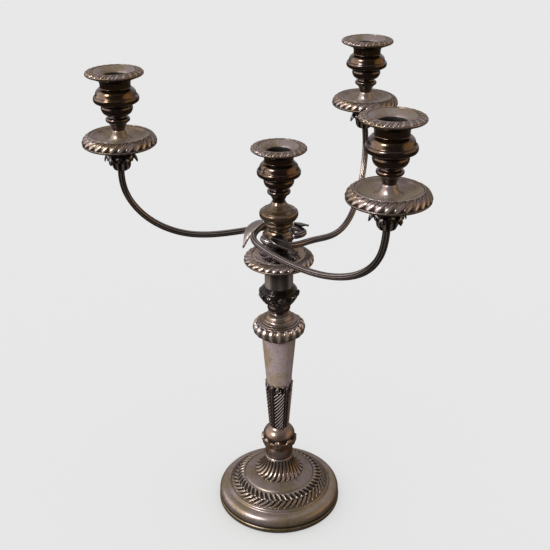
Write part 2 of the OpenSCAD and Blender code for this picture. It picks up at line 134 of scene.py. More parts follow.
def ripple(theta, along, seed, waves=6):
    """Slow hand-made unevenness, about -1 to 1, that closes up round the circle."""
    rng = np.random.default_rng(seed)
    total = np.zeros(np.broadcast(theta, along).shape)
    for _ in range(waves):
        turns = rng.integers(1, 6)
        pitch = rng.uniform(-0.18, 0.18)
        total += np.sin(turns * theta + pitch * along + rng.uniform(0, TAU))
    return total / waves ** 0.5 / 1.4


# ---------------------------------------------------------------- meshes

class Shape:
    """Collects points, faces and the two colour attributes of one piece: one darkens it (tarnish, painted
    shade, painted reflection), one lightens it (wear, painted highlights, painted reflection).
    """

    def __init__(self):
        self.points, self.faces = [], []
        self.recess, self.wear_and_highlight = [], []
        self.count = 0

    def add(self, points, faces, recess=0.0, wear_and_highlight=0.0):
        points = np.asarray(points, float).reshape(-1, 3)
        n = len(points)
        self.points.append(points)
        self.recess.append(np.broadcast_to(np.asarray(recess, float).ravel(), (n,)))
        self.wear_and_highlight.append(np.broadcast_to(np.asarray(wear_and_highlight, float).ravel(), (n,)))
        for block in faces:
            if len(block):
                self.faces.append(np.asarray(block, np.int64) + self.count)
        self.count += n

    def mesh(self, name):
        mesh = bpy.data.meshes.new(name)
        points = np.concatenate(self.points) * MM
        mesh.vertices.add(len(points))
        mesh.vertices.foreach_set("co", points.ravel())
        loops = np.concatenate([f.ravel() for f in self.faces])
        sizes = np.concatenate([np.full(len(f), f.shape[1]) for f in self.faces])
        starts = np.concatenate([[0], np.cumsum(sizes)[:-1]])
        mesh.loops.add(len(loops))
        mesh.loops.foreach_set("vertex_index", loops)
        mesh.polygons.add(len(sizes))
        mesh.polygons.foreach_set("loop_start", starts)
        mesh.polygons.foreach_set("use_smooth", np.ones(len(sizes), bool))
        for label, values in (("recess", self.recess), ("wear_and_highlight", self.wear_and_highlight)):
            layer = mesh.attributes.new(label, "FLOAT", "POINT")
            layer.data.foreach_set("value", np.concatenate(values).astype(np.float32))
        mesh.update(calc_edges=True)
        mesh.validate()
        return mesh


def ring_quads(rows, columns, closed_rows):
    """Outward faces of a grid of rings, each anticlockwise about the way its rows run."""
    last = rows if closed_rows else rows - 1
    j, k = np.meshgrid(np.arange(last), np.arange(columns), indexing="ij")
    a = j * columns + k
    b = j * columns + (k + 1) % columns
    c = (j + 1) % rows * columns + (k + 1) % columns
    d = (j + 1) % rows * columns + k
    return np.stack([a, b, c, d], -1).reshape(-1, 4)


def capped_tube(grid, poles, recess, wear_and_highlight):
    """A tube through rings of points, closed by a fan of triangles to a pole at each end."""
    rows, columns = grid.shape[:2]
    n = rows * columns
    first = np.arange(columns)
    last = first + n - columns
    fans = [np.stack([np.full(columns, n), np.roll(first, -1), first], -1),
            np.stack([np.full(columns, n + 1), last, np.roll(last, -1)], -1)]
    shape = Shape()
    shape.add(np.vstack([grid.reshape(-1, 3), *poles]), [ring_quads(rows, columns, False)] + fans,
              np.append(recess, [0, 0]), np.append(wear_and_highlight, [0, 0]))
    return shape


def placed(name, data):
    """A new object in the scene."""
    thing = bpy.data.objects.new(name, data)
    bpy.context.scene.collection.objects.link(thing)
    return thing


def show(node, shape, material):
    """Puts a finished shape in place of a CAD node."""
    mesh = shape.mesh(f"{node}_finish")
    mesh.materials.append(material)
    piece = placed(f"{node}_finish", mesh)
    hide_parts(node)
    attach(piece, body_of[node])


# ---------------------------------------------------------------- outlines of turned pieces

ON_SEAM = 1e-3       # how near a point lies to the half plane of the outline, in mm
MERGE = 2e-3         # points nearer than this are one
CORNER = math.radians(36)
FILLET = 0.22        # rounding of a turned corner


def outline(node, axis):
    """A turned CAD node's half outline (radius and height, mm), and whether it closes clear of the axis."""
    mesh = frame["nodes"][node].data
    co = np.empty(len(mesh.vertices) * 3)
    mesh.vertices.foreach_get("co", co)
    co = co.reshape(-1, 3) / MM - [axis[0], axis[1], 0]
    on = (np.abs(co[:, 1]) < ON_SEAM) & (co[:, 0] > -ON_SEAM)
    edges = np.empty(len(mesh.edges) * 2, np.int64)
    mesh.edges.foreach_get("vertices", edges)
    edges = edges.reshape(-1, 2)
    edges = edges[on[edges].all(1)]

    spots, number = [], {}
    for v in np.unique(edges):
        key = (round(co[v, 0] / MERGE), round(co[v, 2] / MERGE))
        near = [(key[0] + i, key[1] + j) for i in (0, -1, 1) for j in (0, -1, 1)]
        found = next((number[k] for k in near if k in number), None)
        if found is None:
            found = len(spots)
            spots.append((max(co[v, 0], 0.0), co[v, 2]))
        number[key] = found
        number[v, "vertex"] = found
    links = {i: set() for i in range(len(spots))}
    for a, b in edges:
        i, j = number[a, "vertex"], number[b, "vertex"]
        if i != j:
            links[i].add(j)
            links[j].add(i)

    left = set(links)
    chains = []
    while left:
        ends = [i for i in left if len(links[i] & left) <= 1]
        chain = [min(ends or left)]
        left.discard(chain[0])
        while links[chain[-1]] & left:
            chain.append(min(links[chain[-1]] & left, key=lambda s: math.dist(spots[s], spots[chain[-1]])))
            left.discard(chain[-1])
        chains.append(chain)

    chain = chains.pop(0)
    while chains:
        # a flat ring may have no edge along the seam, so chains join where their ends are level
        _, index, own, other = min(
            (abs(spots[chain[e]][1] - spots[c[o]][1]), i, e, o)
            for i, c in enumerate(chains) for e in (0, -1) for o in (0, -1))
        following = chains.pop(index)
        chain = (chain[::-1] if own == 0 else chain) + (following[::-1] if other == -1 else following)
    points = [spots[i] for i in chain]
    closed = chain[0] in links[chain[-1]] or abs(points[0][1] - points[-1][1]) < MERGE
    if not closed:
        for end, place in ((0, 0), (-1, len(points) + 1)):
            if points[end][0] > MERGE:
                points.insert(place, (0.0, points[end][1]))
    return anticlockwise(np.array(points)), closed


def anticlockwise(points):
    r, z = points[:, 0], points[:, 1]
    area = np.sum(r * np.roll(z, -1) - np.roll(r, -1) * z)
    return points if area > 0 else points[::-1]


def without_straight_points(points, closed):
    keep = []
    for i, p in enumerate(points):
        if not closed and i in (0, len(points) - 1):
            keep.append(i)
            continue
        a, b = p - points[i - 1], points[(i + 1) % len(points)] - p
        turn = abs(math.atan2(a[0] * b[1] - a[1] * b[0], a @ b))
        if turn > math.radians(0.4):
            keep.append(i)
    return points[keep]


def smooth_run(points):
    """Dense points on a smooth curve through a run of outline points."""
    if len(points) == 2:
        return np.linspace(points[0], points[1], 25)
    before = 2 * points[0] - points[1]
    after = 2 * points[-1] - points[-2]
    p = np.vstack([before, points, after])
    out = []
    for i in range(1, len(p) - 2):
        t0 = 0.0
        t1 = t0 + math.dist(p[i - 1], p[i]) ** 0.5
        t2 = t1 + math.dist(p[i], p[i + 1]) ** 0.5
        t3 = t2 + math.dist(p[i + 1], p[i + 2]) ** 0.5
        t = np.linspace(t1, t2, 13)[:, None]
        a1 = (t1 - t) / (t1 - t0) * p[i - 1] + (t - t0) / (t1 - t0) * p[i]
        a2 = (t2 - t) / (t2 - t1) * p[i] + (t - t1) / (t2 - t1) * p[i + 1]
        a3 = (t3 - t) / (t3 - t2) * p[i + 1] + (t - t2) / (t3 - t2) * p[i + 2]
        b1 = (t2 - t) / (t2 - t0) * a1 + (t - t0) / (t2 - t0) * a2
        b2 = (t3 - t) / (t3 - t1) * a2 + (t - t1) / (t3 - t1) * a3
        out.append(((t2 - t) / (t2 - t1) * b1 + (t - t1) / (t2 - t1) * b2)[:-1])
    return np.vstack(out + [points[-1:]])


def resample(run, step_at, fillet_start, fillet_end):
    """Points along a dense run, spaced by step_at(r, z), shortened at its ends for the fillets."""
    arc = arc_length(run)
    length = np.linalg.norm(np.diff(run, axis=0), axis=1)
    lo = min(fillet_start, arc[-1] * 0.3)
    hi = arc[-1] - min(fillet_end, arc[-1] * 0.3)
    middle = (run[1:] + run[:-1]) / 2
    need = length / np.array([step_at(r, z) for r, z in middle])
    steps = np.concatenate([[0], np.cumsum(need)])
    a, b = np.interp([lo, hi], arc, steps)
    n = max(1, math.ceil(b - a))
    at = np.interp(np.linspace(a, b, n + 1), steps, arc)
    return points_at(run, arc, at)


def refined(points, closed, step_at):
    """The outline with smooth curves, small fillets at its corners and points as close as step_at asks."""
    points = without_straight_points(points, closed)
    n = len(points)
    corners = []
    for i in range(n):
        if not closed and i in (0, n - 1):
            corners.append(i)
            continue
        a, b = points[i] - points[i - 1], points[(i + 1) % n] - points[i]
        if abs(math.atan2(a[0] * b[1] - a[1] * b[0], a @ b)) > CORNER:
            corners.append(i)
    if closed:
        points = np.roll(points, -corners[0], axis=0)
        corners = [c - corners[0] for c in corners] + [n]
        points = np.vstack([points, points[:1]])
    out = []
    for index, (a, b) in enumerate(zip(corners[:-1], corners[1:])):
        first = index == 0 and not closed
        last = index == len(corners) - 2 and not closed
        run = smooth_run(points[a:b + 1])
        run = resample(run, step_at, 0 if first else FILLET, 0 if last else FILLET)
        out.append(run)
    rounded = []
    for index, run in enumerate(out):
        rounded.append(run)
        if index == len(out) - 1 and not closed:
            break
        following = out[(index + 1) % len(out)]
        corner = points[corners[index + 1]]
        for t in (1 / 3, 2 / 3):
            rounded.append([run[-1] * (1 - t) ** 2 + 2 * t * (1 - t) * corner + following[0] * t * t])
    return np.vstack(rounded)


class Rows:
    """The points of a refined outline with their outward directions."""

    def __init__(self, points, closed):
        if closed:
            # start at the innermost point, so that no ornament crosses the first row
            above_foot = points[:, 1] - points[:, 1].min()
            points = np.roll(points, -int(np.argmin(points[:, 0] * 4 + np.abs(above_foot))), axis=0)
            tangent = np.roll(points, -1, axis=0) - np.roll(points, 1, axis=0)
        else:
            tangent = np.gradient(points, axis=0)
        tangent = unit(tangent)
        self.r, self.z = points[:, 0], points[:, 1]
        self.out_r, self.out_z = tangent[:, 1], -tangent[:, 0]
        self.arc = arc_length(points)

    def nearest(self, spot):
        return int(np.argmin((self.r - spot[0]) ** 2 + (self.z - spot[1]) ** 2))

    def share(self, start, end):
        """How far along each row is between two spots: 0 at start, 1 at end, and beyond those outside."""
        a, b = self.nearest(start), self.nearest(end)
        return ((self.arc - self.arc[a]) / (self.arc[b] - self.arc[a]))[:, None]


CANDLE_BORE_R = 11.0
PLAIN_COLUMNS = 240
PLAIN_STEP = 1.1


def turned_shape(points, closed, axis, relief=None, columns=PLAIN_COLUMNS, step=PLAIN_STEP, step_at=None,
                 seed=0, wobble=0.05):
    """A half outline turned round an axis, with its relief raised along the surface."""
    rows = Rows(refined(points, closed, step_at or (lambda r, z: step)), closed)
    theta = np.linspace(0, TAU, columns, endpoint=False)[None, :]
    height = np.zeros((len(rows.r), columns))
    recess, wear_and_highlight = np.zeros_like(height), np.zeros_like(height)
    if relief:
        height, recess, wear_and_highlight = relief(rows, theta)
    height = height + wobble * ripple(theta, rows.z[:, None], seed) * smoothstep(rows.r, 2, 12)[:, None]
    r = rows.r[:, None] + height * rows.out_r[:, None]
    z = rows.z[:, None] + height * rows.out_z[:, None]
    grid = np.stack([axis[0] + r * np.cos(theta), axis[1] + r * np.sin(theta), z], -1)
    if not closed:
        poles = [[*axis, rows.z[0]], [*axis, rows.z[-1]]]
        return capped_tube(grid[1:-1], poles, recess[1:-1], wear_and_highlight[1:-1])
    shape = Shape()
    shape.add(grid, [ring_quads(len(grid), columns, True)], recess, wear_and_highlight)
    return shape


def turned(node, axis, material, relief=None, **options):
    """A turned CAD node rebuilt smooth and fine."""
    points, closed = outline(node, axis)
    shape = turned_shape(points, closed, axis, relief, **options)
    show(node, shape, material)


# ---------------------------------------------------------------- leaves, sleeve and arms

def sheet(shape, outer, inner, recess, wear_and_highlight):
    """A thin closed sheet between two grids of points, with a softened rim."""
    rows, columns = outer.shape[:2]
    layer = rows * columns
    j, k = np.meshgrid(np.arange(rows - 1), np.arange(columns - 1), indexing="ij")
    a = (j * columns + k).ravel()
    quads = np.stack([a, a + columns, a + columns + 1, a + 1], -1)
    rim = np.concatenate([np.arange(columns - 1), np.arange(rows - 1) * columns + columns - 1,
                          layer - 1 - np.arange(columns - 1), (rows - 1 - np.arange(rows - 1)) * columns])
    flat_outer, flat_inner = outer.reshape(-1, 3), inner.reshape(-1, 3)
    middle = (flat_outer[rim] + flat_inner[rim]) / 2
    middle += (middle - outer.reshape(-1, 3).mean(0)) * 0.012
    n = len(rim)
    ring = 2 * layer + np.arange(n)
    following = np.roll(ring, -1)
    rim_next = np.roll(rim, -1)
    faces = [quads, quads[:, ::-1] + layer,
             np.stack([rim, rim_next, following, ring], -1),
             np.stack([ring, following, rim_next + layer, rim + layer], -1)]
    recess = np.broadcast_to(recess, (rows, columns)).ravel()
    wear_and_highlight = np.broadcast_to(wear_and_highlight, (rows, columns)).ravel()
    shape.add(np.vstack([flat_outer, flat_inner, middle]), faces,
              np.concatenate([recess, recess, recess[rim]]), np.concatenate([wear_and_highlight, wear_and_highlight, wear_and_highlight[rim]]))


LEAF_THICKNESS = 0.8
LEAF_ROWS, LEAF_COLUMNS = 34, 17


def curled_leaf(shape, axis, bearing, path, half_width, lobes=3, cup=1.2, notch=0.2):
    """One cast leaf whose midrib follows path (radius, height from the axis), cut into lobes at its edges."""
    spine = smooth_run(np.array(path, float))
    arc = arc_length(spine)
    t = np.linspace(0, 1, LEAF_ROWS)
    r, z = points_at(spine, arc, t * arc[-1]).T
    tangent = unit(np.stack([np.gradient(r), np.gradient(z)], -1))
    out_r, out_z = -tangent[:, 1], tangent[:, 0]
    v = np.linspace(-1, 1, LEAF_COLUMNS)[None, :]
    t = t[:, None]
    notches = 1 - notch * np.abs(np.cos(np.pi * lobes * t))
    width = half_width * np.sin(np.pi * (0.2 + 0.8 * t)) ** 0.75 * notches
    midrib = bell(v, 0.14)
    side = np.abs(np.sin(np.pi * lobes * (t - 0.22 * np.abs(v))))
    lift = -cup * v ** 2 * np.sin(np.pi * np.clip(t + 0.1, 0, 1)) + 0.3 * midrib + 0.22 * side
    radial = np.array([math.cos(bearing), math.sin(bearing)])
    across = np.array([-math.sin(bearing), math.cos(bearing)])

    def layer(offset):
        b = lift + offset
        reach = r[:, None] + out_r[:, None] * b
        height = z[:, None] + out_z[:, None] * b
        side_step = width * v
        return np.stack([axis[0] + radial[0] * reach + across[0] * side_step,
                         axis[1] + radial[1] * reach + across[1] * side_step, height + 0 * v], -1)

    recess = np.clip((1 - side) * 0.6 + 0.3 * (1 - smoothstep(t, 0, 0.35)), 0, 1) + 0 * v
    wear_and_highlight = np.clip(smoothstep(side, 0.8, 1.0) * 0.4 + midrib * 0.6 + smoothstep(t, 0.85, 1.0) * 0.5, 0, 1)
    sheet(shape, layer(LEAF_THICKNESS), layer(0.0), recess, wear_and_highlight)


def cut_back(points, most):
    """The outline with everything beyond a radius trimmed to it."""
    trimmed = points.copy()
    trimmed[:, 0] = np.minimum(trimmed[:, 0], most)
    keep = np.linalg.norm(trimmed - np.roll(trimmed, 1, axis=0), axis=1) > 1e-3
    return trimmed[keep]


def arm_calyx(arm, material, seed):
    """Lobed bulb under a pan, with two rings of leaves that curl out and hang."""
    node = f"{arm}_calyx"
    axis = candle_axis(arm)
    bottom, top = heights(node)

    def relief(rows, theta):
        z = rows.z[:, None]
        bulb = band(z, bottom, bottom + 1.5, bottom + 7.5, bottom + 9.5)
        bulb = bulb * smoothstep(rows.r, 5.0, 5.6)[:, None]
        x = from_nearest(10 * theta / TAU + 0.05 * seed)
        lobe = crest(x, 0.46)
        recess = bulb * (1 - smoothstep(lobe, 0.15, 0.7))
        return bulb * (lobe * 1.1 - 0.7), recess, bulb * smoothstep(lobe, 0.8, 1)

    points, closed = outline(node, axis)
    shape = turned_shape(cut_back(points, 9.1), closed, axis, relief, columns=240,
                         step=0.5, seed=seed)
    small = [(8.4, top - 0.6), (10.6, top - 1.6), (12.4, top - 4.4), (12.6, top - 7.6)]
    large = [(8.6, top - 1.8), (11.6, top - 2.2), (14.2, top - 5.6), (14.8, top - 10.2)]
    for k in range(6):
        bearing = TAU * (k + 0.13 * seed) / 6
        curled_leaf(shape, axis, bearing + TAU / 12, small, 4.3, lobes=3)
        curled_leaf(shape, axis, bearing, large, 4.6, lobes=3, cup=1.5)
    show(node, shape, material)


def hub_leaves(material):
    """Skirt of toothed leaves at the foot of the branches, lying in the candlestick's pan."""
    low, high = box_mm("hub_calyx")
    reach, bottom, top = high[0], low[2], high[2]
    points, closed = outline("hub_calyx", STEM)
    shape = turned_shape(cut_back(points, reach - 7.5), closed, STEM, seed=19)
    path = [(reach - 9.6, top - 2.0), (reach - 6.5, bottom + 1.9), (reach - 2.6, bottom + 1.3),
            (reach + 0.6, bottom + 3.0)]
    for k in range(9):
        curled_leaf(shape, STEM, TAU * (k + 0.35) / 9, path, 4.6, lobes=4, cup=0.7, notch=0.28)
    show("hub_calyx", shape, material)


def stem_sleeve(material):
    """Ribbed sleeve round the lower column: slanted gadroons between upright reeds, under a scalloped top."""
    panels, slant_pitch, scallops = 5, 4.4, 15
    points, _ = outline("stem_calyx", STEM)
    by_height = points[np.argsort(points[:, 1])]
    levels = np.unique(np.round(by_height[:, 1], 1))
    outer = [by_height[np.abs(by_height[:, 1] - h) < 0.06][:, 0].max() for h in levels]
    inner = [by_height[np.abs(by_height[:, 1] - h) < 0.06][:, 0].min() for h in levels]
    bottom, top = levels[0], levels[-1]
    theta = np.linspace(0, TAU, panels * 150, endpoint=False)[None, :]
    v = np.linspace(0, 1, 190)[:, None]
    edge = top - 1.5 * (0.5 - 0.5 * np.cos(scallops * theta))
    z = bottom + v * (edge - bottom)
    r = np.interp(z, levels, outer)
    p = from_nearest(panels * theta / TAU + 0.25)
    y = from_nearest(panels * theta / TAU + 0.75)
    panel = smoothstep(np.abs(p), 0.335, 0.315) * smoothstep(z, bottom + 0.5, bottom + 2.0)
    head = smoothstep(z, top - 10.5, top - 8.0)
    slant = z / slant_pitch - 4.3 * p - 1.1 * p * p
    stripe = crest(from_nearest(slant), 0.29)
    scroll_at = np.hypot(p * 15.5 + 0.6, z - (top - 5.6))
    scroll = bell(scroll_at - 2.3, 0.55) + bell(scroll_at, 0.8) * 0.9
    reed = np.maximum(crest(y, 0.075), crest(np.abs(y) - 0.118, 0.028) * 0.7)
    fillet = bell(np.abs(p) - 0.345, 0.010)
    rise = panel * np.maximum(stripe * (1 - head), scroll * head)
    rise = np.maximum(rise, (1 - panel) * np.maximum(reed, fillet))
    bead_at = from_nearest(scallops * theta / TAU)
    bead = np.sqrt(np.clip(1 - (bead_at / 0.3) ** 2 - ((edge - z - 1.3) / 1.3) ** 2, 0, 1))
    lip = smoothstep(edge - z, 3.2, 2.2)
    rise = np.maximum(rise * (1 - lip), bead)
    height = -0.75 + 1.75 * rise
    height = np.where(lip > 0.5, np.maximum(height, -0.2), height)
    foot_ease = smoothstep(z, bottom, bottom + 1.2)
    r = r + height * foot_ease
    recess = np.clip(1 - smoothstep(rise, 0.3, 0.8), 0, 1) * foot_ease * (0.45 + 0.55 * panel)
    wear_and_highlight = smoothstep(rise, 0.8, 1.0) * np.maximum(panel, lip)
    wall = np.interp(edge, levels, inner)
    wall_low = np.full_like(theta, inner[0])
    rings_r = np.vstack([r, (r[-1:] + wall) / 2, wall, wall_low])
    rings_z = np.vstack([z, edge + 0.25, edge, np.full_like(theta, bottom)])
    none = np.zeros_like(theta)
    grid = np.stack([rings_r * np.cos(theta), rings_r * np.sin(theta), rings_z], -1)
    shape = Shape()
    shape.add(grid, [ring_quads(len(grid), theta.size, True)],
              np.vstack([recess, none, none, none]), np.vstack([wear_and_highlight, none, none, none]))
    show("stem_calyx", shape, material)


def merged(node):
    """A CAD node's points in mm with the copies at shared corners merged, and who is joined to whom."""
    mesh = frame["nodes"][node].data
    number, spots, index = {}, [], []
    for vertex in mesh.vertices:
        key = tuple(round(c / MM / MERGE) for c in vertex.co)
        if key not in number:
            number[key] = len(spots)
            spots.append([c / MM for c in vertex.co])
        index.append(number[key])
    links = [set() for _ in spots]
    for edge in mesh.edges:
        a, b = (index[v] for v in edge.vertices)
        if a != b:
            links[a].add(b)
            links[b].add(a)
    return np.array(spots), links


def centreline(node):
    """Centres of a swept CAD arm's rings, from its candle end to the hub."""
    spots, links = merged(node)
    ring = set(np.flatnonzero(spots[:, 2] > spots[:, 2].max() - 10 * MERGE).tolist())
    seen, centres = set(), []
    while ring:
        centres.append(spots[sorted(ring)].mean(0))
        seen |= ring
        ring = {b for a in ring for b in links[a]} - seen
    return np.array(centres)


def spaced(points, step):
    """Evenly spaced points on a smooth curve through the given ones."""
    fine = smooth_run(points)
    arc = arc_length(fine)
    at = np.linspace(0, arc[-1], int(arc[-1] / step) + 1)
    return points_at(fine, arc, at)


def reeded_arm(arm, material, radius):
    """A curved arm drawn with parallel reeds along it."""
    reeds, per_reed = 8, 12
    node = f"{arm}_arm"
    line = spaced(centreline(node), 1.3)
    side = np.array([1.0, 0.0, 0.0])
    frames = []
    for t in unit(np.gradient(line, axis=0)):
        side = unit(side - t * (side @ t))
        frames.append((side, np.cross(t, side)))
    turn = np.linspace(0, TAU, reeds * per_reed, endpoint=False)
    reed = crest(from_nearest(reeds * turn / TAU), 0.5)
    section = radius * (0.80 + 0.24 * reed ** 0.8)
    ends = np.arange(len(line))
    taper = np.minimum(1, np.sqrt(np.clip((len(line) - 1 - ends) / 3, 0, 1)) * 0.6 + 0.4)
    grid = np.array([c + f * (np.outer(np.cos(turn) * section, a) + np.outer(np.sin(turn) * section, b))
                     for c, f, (a, b) in zip(line, taper, frames)])
    recess = np.tile(1 - smoothstep(reed, 0.1, 0.7), len(line))
    wear_and_highlight = np.tile(smoothstep(reed, 0.85, 1.0) * 0.5, len(line))
    show(node, capped_tube(grid, (line[0], line[-1]), recess, wear_and_highlight), material)


def upsampled(grid, rows, columns):
    """A grid of points redrawn finer on smooth curves both ways."""
    def along(points, count):
        fine = smooth_run(points)
        return fine[np.round(np.linspace(0, len(fine) - 1, count)).astype(int)]
    half = np.stack([along(grid[:, k], rows) for k in range(grid.shape[1])], 1)
    return np.stack([along(half[j], columns) for j in range(rows)])


LEAF_STATION_POINTS = 14                             # of the CAD leaf, both faces
LEAF_TILTS = (math.radians(80), math.radians(50))    # at its root and tip


def hook_leaf(arm, material):
    """The smooth pointed leaf outside an arm's hook, with a fine midrib and a raised margin."""
    node = f"{arm}_arm_leaf"
    spots, _ = merged(node)
    bearing = np.arctan2(spots[:, 1], spots[:, 0])
    middle = math.atan2(spots[:, 1].mean(), spots[:, 0].mean())
    bearing = (bearing - middle + math.pi) % TAU - math.pi
    order = np.argsort(bearing)
    stations = np.array_split(order, round(len(order) / LEAF_STATION_POINTS))
    stations = stations if spots[stations[0], 2].mean() > spots[stations[-1], 2].mean() else stations[::-1]
    layers = [[], []]
    for station, tilt in zip(stations, np.linspace(*LEAF_TILTS, len(stations))):
        radius, height = np.hypot(spots[station, 0], spots[station, 1]), spots[station, 2]
        off = radius * math.cos(tilt) + height * math.sin(tilt)
        across = height * math.cos(tilt) - radius * math.sin(tilt)
        outside = off > off.mean()
        for layer, side in ((0, outside), (1, ~outside)):
            members = station[side]
            layers[layer].append(spots[members[np.argsort(across[side])]])
    layers = [np.array(layer) for layer in layers]
    outer, inner = (upsampled(layer, 61, 33) for layer in layers)
    outward = unit(outer - inner)
    v = np.linspace(-1, 1, 33)[None, :]
    t = np.linspace(0, 1, 61)[:, None]
    midrib = bell(v, 0.06)
    margin = smoothstep(np.abs(v), 0.84, 0.97)
    veins = np.abs(np.sin(np.pi * 7 * (t - 0.3 * np.abs(v)))) ** 6 * smoothstep(np.abs(v), 0.05, 0.3)
    outer = outer + outward * (0.35 * midrib + 0.3 * margin + 0.12 * veins)[:, :, None]
    shape = Shape()
    sheet(shape, outer, inner, 0.0, np.clip(margin * 0.6 + midrib * 0.5, 0, 1))
    show(node, shape, material)


# ---------------------------------------------------------------- materials

class Graph:
    """Short ways to add and join the shader nodes of a material or world."""

    def __init__(self, owner):
        owner.use_nodes = True
        self.owner, self.tree = owner, owner.node_tree
        self.tree.nodes.clear()

    def finish(self, kind, shader):
        """Joins the last shader to the output, and gives back the material or world."""
        out = self.node(f"ShaderNodeOutput{kind}")
        self.tree.links.new(shader.outputs[0], out.inputs["Surface"])
        return self.owner

    def node(self, kind, **inputs):
        node = self.tree.nodes.new(kind)
        for key, value in inputs.items():
            self.set(node, key, value)
        return node

    def set(self, node, key, value):
        socket = node.inputs[key.replace("_", " ") if isinstance(key, str) else key]
        if isinstance(value, bpy.types.NodeSocket):
            self.tree.links.new(value, socket)
        else:
            socket.default_value = value

    def maths(self, operation, a, b, clamp=False):
        node = self.tree.nodes.new("ShaderNodeMath")
        node.operation = operation
        node.use_clamp = clamp
        self.set(node, 0, a)
        self.set(node, 1, b)
        return node.outputs[0]

    def plus(self, a, b, clamp=False):
        return self.maths("ADD", a, b, clamp)

    def minus(self, a, b):
        return self.maths("SUBTRACT", a, b)

    def times(self, a, b):
        return self.maths("MULTIPLY", a, b)

    def ramp(self, value, lo, hi, out_lo=0.0, out_hi=1.0):
        node = self.tree.nodes.new("ShaderNodeMapRange")
        node.interpolation_type = "SMOOTHSTEP"
        node.clamp = True
        for index, number in enumerate((value, lo, hi, out_lo, out_hi)):
            self.set(node, index, number)
        return node.outputs[0]

    def attribute(self, name):
        node = self.tree.nodes.new("ShaderNodeAttribute")
        node.attribute_name = name
        return node.outputs["Fac"]

    def mix(self, factor, a, b):
        node = self.tree.nodes.new("ShaderNodeMix")
        node.data_type = "RGBA"
        for index, value in ((0, factor), (6, a), (7, b)):
            self.set(node, index, value)
        return node.outputs[2]

    def shader_mix(self, factor, a, b):
        node = self.tree.nodes.new("ShaderNodeMixShader")
        self.set(node, 0, factor)
        self.tree.links.new(a.outputs[0], node.inputs[1])
        self.tree.links.new(b.outputs[0], node.inputs[2])
        return node

    def noise(self, coords, scale, detail, roughness, stretch=None):
        if stretch:
            mapping = self.node("ShaderNodeMapping", Vector=coords)
            mapping.inputs["Scale"].default_value = stretch
            coords = mapping.outputs[0]
        node = self.node("ShaderNodeTexNoise", Vector=coords, Scale=scale, Detail=detail, Roughness=roughness)
        return node.outputs["Fac"]


def linear(hex_colour):
    """A screen colour such as "a39591" as a linear RGBA value."""
    values = [int(hex_colour[i:i + 2], 16) / 255 for i in (0, 2, 4)]
    return (*[v / 12.92 if v <= 0.04045 else ((v + 0.055) / 1.055) ** 2.4 for v in values], 1.0)


# colours mixed in by plate(): RECESS_COLOUR for tarnish streaks and for tarnish with painted shade in
# recesses; the next for tarnish spots and for painted shade on undersides; BRIGHT_COLOUR for wear with
# painted highlights on ridges; the last for painted shade in the candle bores
RECESS_COLOUR = linear("0d0908")
SPOT_AND_UNDERSIDE_SHADE_COLOUR = linear("1d1613")
BRIGHT_COLOUR = linear("e6dcd6")
BORE_SHADE_COLOUR = linear("080605")
CREVICE_REACH = 0.0035       # how far apart the walls of a crevice darkened by tarnish and painted shade may be, in metres
CREVICE_SAMPLES = 6
BUMP_DEPTH = 0.0003
COAT_ROUGHNESS = 0.16


